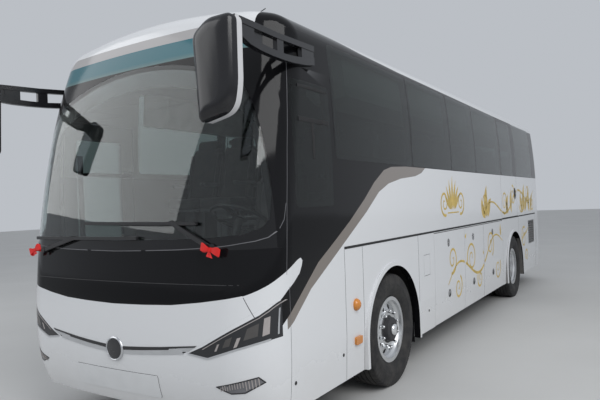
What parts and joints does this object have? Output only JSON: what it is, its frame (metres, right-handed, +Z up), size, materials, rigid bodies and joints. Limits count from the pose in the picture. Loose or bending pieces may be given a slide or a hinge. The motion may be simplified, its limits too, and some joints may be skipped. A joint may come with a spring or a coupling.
{
  "type": "charter coach bus",
  "caption": "Two-axle touring coach with a hollow glazed body, steered front wheels, twin rear wheels, swinging doors and luggage hold lids.",
  "frame": {"origin": "middle of the whole coach's footprint, mirrors included, at floor level", "axes": "+Y towards the rear, +X towards the driver's (left) side, +Z up"},
  "size_m": [2.8786, 10.2432, 3.375],
  "materials": {
    "white_paint": "gloss white coat",
    "black_gloss": "gloss black",
    "screen_glass": "clear laminated",
    "tinted_glass": "green-grey tint",
    "lamp_lens": "clear lens over dark housing",
    "red_lens": "red lens",
    "black_plastic": "satin black",
    "grey_plastic": "grained grey",
    "frame_steel": "black chassis paint",
    "engine_iron": "plain",
    "seat_fabric": "woven",
    "tyre_rubber": "treaded",
    "polished_rim": "polished"
  },
  "bodies": {
    "coach": {"aerial": "black_plastic", "air_conditioner": "white_paint", "cab_side_left": "white_paint", "cab_side_right": "white_paint", "dashboard": "grey_plastic", "deck": "grey_plastic", "driver_seat": "seat_fabric", "engine": "engine_iron", "engine_grilles": "black_plastic", "fog_lamps": "lamp_lens", "front_axle": "frame_steel", "front_bumper": "white_paint", "front_panel": "black_gloss", "front_pillars": "black_gloss", "headlamps": "lamp_lens", "luggage_hold": "frame_steel", "luggage_racks": "grey_plastic", "mirrors": "black_plastic", "mudflaps": "black_plastic", "nose_strip": "black_gloss", "passenger_seats": "seat_fabric", "rear_axle": "frame_steel", "rear_wall": "white_paint", "roof": "white_paint", "roof_hatches": "white_paint", "side_wall_left": "white_paint", "side_wall_right": "white_paint", "steering_wheel": "black_plastic", "tail_lamps": "red_lens", "underframe": "frame_steel", "wheel_housings": "frame_steel", "window_panes": "tinted_glass", "windscreen": "screen_glass", "wipers": "black_plastic"},
    "steer_left_body": {"knuckle_left": "frame_steel"},
    "steer_right_body": {"knuckle_right": "frame_steel"},
    "front_wheel_left": {"front_tyre_left": "tyre_rubber", "front_rim_left": "polished_rim"},
    "front_wheel_right": {"front_tyre_right": "tyre_rubber", "front_rim_right": "polished_rim"},
    "rear_wheels_left": {"rear_tyres_left": "tyre_rubber", "rear_rims_left": "polished_rim"},
    "rear_wheels_right": {"rear_tyres_right": "tyre_rubber", "rear_rims_right": "polished_rim"},
    "passenger_door_arm": {"door_arm": "frame_steel"},
    "passenger_door_leaf": {"passenger_door": "white_paint", "passenger_door_glass": "tinted_glass", "door_bracket": "frame_steel"},
    "emergency_door_leaf": {"emergency_door": "white_paint", "emergency_door_glass": "tinted_glass"},
    "engine_lid": {"engine_door": "white_paint"},
    "fuel_lid": {"fuel_flap": "white_paint"},
    "hold_lid_left_1": {"luggage_door_left_1": "white_paint"},
    "hold_lid_left_2": {"luggage_door_left_2": "white_paint"},
    "hold_lid_left_3": {"luggage_door_left_3": "white_paint"},
    "hold_lid_right_1": {"luggage_door_right_1": "white_paint"},
    "hold_lid_right_2": {"luggage_door_right_2": "white_paint"},
    "hold_lid_right_3": {"luggage_door_right_3": "white_paint"}
  },
  "joints": [
    {"name": "steer_left", "type": "hinge", "parent": "coach", "child": "steer_left_body", "pos_m": [0.885, -2.67, 0.512], "axis": [0, 0, 1], "range_deg": [-36, 36]},
    {"name": "front_wheel_left_spin", "type": "hinge", "parent": "steer_left_body", "child": "front_wheel_left", "pos_m": [1.1, -2.67, 0.512], "axis": [1, 0, 0], "continuous": true},
    {"name": "rear_wheels_left_spin", "type": "hinge", "parent": "coach", "child": "rear_wheels_left", "pos_m": [1, 2.58, 0.512], "axis": [1, 0, 0], "continuous": true},
    {"name": "hold_lid_left_1_swing", "type": "hinge", "parent": "coach", "child": "hold_lid_left_1", "pos_m": [1.287, -0.9335, 1.33], "axis": [0, -1, 0], "range_deg": [0, 85]},
    {"name": "hold_lid_left_2_swing", "type": "hinge", "parent": "coach", "child": "hold_lid_left_2", "pos_m": [1.287, 0.114, 1.33], "axis": [0, -1, 0], "range_deg": [0, 85]},
    {"name": "hold_lid_left_3_swing", "type": "hinge", "parent": "coach", "child": "hold_lid_left_3", "pos_m": [1.287, 1.155, 1.33], "axis": [0, -1, 0], "range_deg": [0, 85]},
    {"name": "steer_right", "type": "hinge", "parent": "coach", "child": "steer_right_body", "pos_m": [-0.885, -2.67, 0.512], "axis": [0, 0, 1], "range_deg": [-36, 36]},
    {"name": "front_wheel_right_spin", "type": "hinge", "parent": "steer_right_body", "child": "front_wheel_right", "pos_m": [-1.1, -2.67, 0.512], "axis": [1, 0, 0], "continuous": true},
    {"name": "rear_wheels_right_spin", "type": "hinge", "parent": "coach", "child": "rear_wheels_right", "pos_m": [-1, 2.58, 0.512], "axis": [1, 0, 0], "continuous": true},
    {"name": "hold_lid_right_1_swing", "type": "hinge", "parent": "coach", "child": "hold_lid_right_1", "pos_m": [-1.287, -0.9335, 1.33], "axis": [0, 1, 0], "range_deg": [0, 85]},
    {"name": "hold_lid_right_2_swing", "type": "hinge", "parent": "coach", "child": "hold_lid_right_2", "pos_m": [-1.287, 0.114, 1.33], "axis": [0, 1, 0], "range_deg": [0, 85]},
    {"name": "hold_lid_right_3_swing", "type": "hinge", "parent": "coach", "child": "hold_lid_right_3", "pos_m": [-1.287, 1.155, 1.33], "axis": [0, 1, 0], "range_deg": [0, 85]},
    {"name": "passenger_door_arm_swing", "type": "hinge", "parent": "coach", "child": "passenger_door_arm", "pos_m": [-1.15, -4.208, 1.4], "axis": [0, 0, 1], "range_deg": [0, 105]},
    {"name": "passenger_door_leaf_turn", "type": "hinge", "parent": "passenger_door_arm", "child": "passenger_door_leaf", "pos_m": [-1.15, -3.61, 1.4], "axis": [0, 0, 1], "range_deg": [-105, 0]},
    {"name": "emergency_door_swing", "type": "hinge", "parent": "coach", "child": "emergency_door_leaf", "pos_m": [1.287, 1.746, 2.1], "axis": [0, 0, -1], "range_deg": [0, 90]},
    {"name": "engine_lid_swing", "type": "hinge", "parent": "coach", "child": "engine_lid", "pos_m": [0, 5.132, 1.484], "axis": [1, 0, 0], "range_deg": [0, 80]},
    {"name": "fuel_lid_swing", "type": "hinge", "parent": "coach", "child": "fuel_lid", "pos_m": [1.281, -1.852, 1.01], "axis": [0, 0, -1], "range_deg": [0, 95]}
  ],
  "couplings": [
    {"joint": "steer_right", "follows": "steer_left", "ratio": 1},
    {"joint": "passenger_door_leaf_turn", "follows": "passenger_door_arm_swing", "ratio": -1}
  ]
}
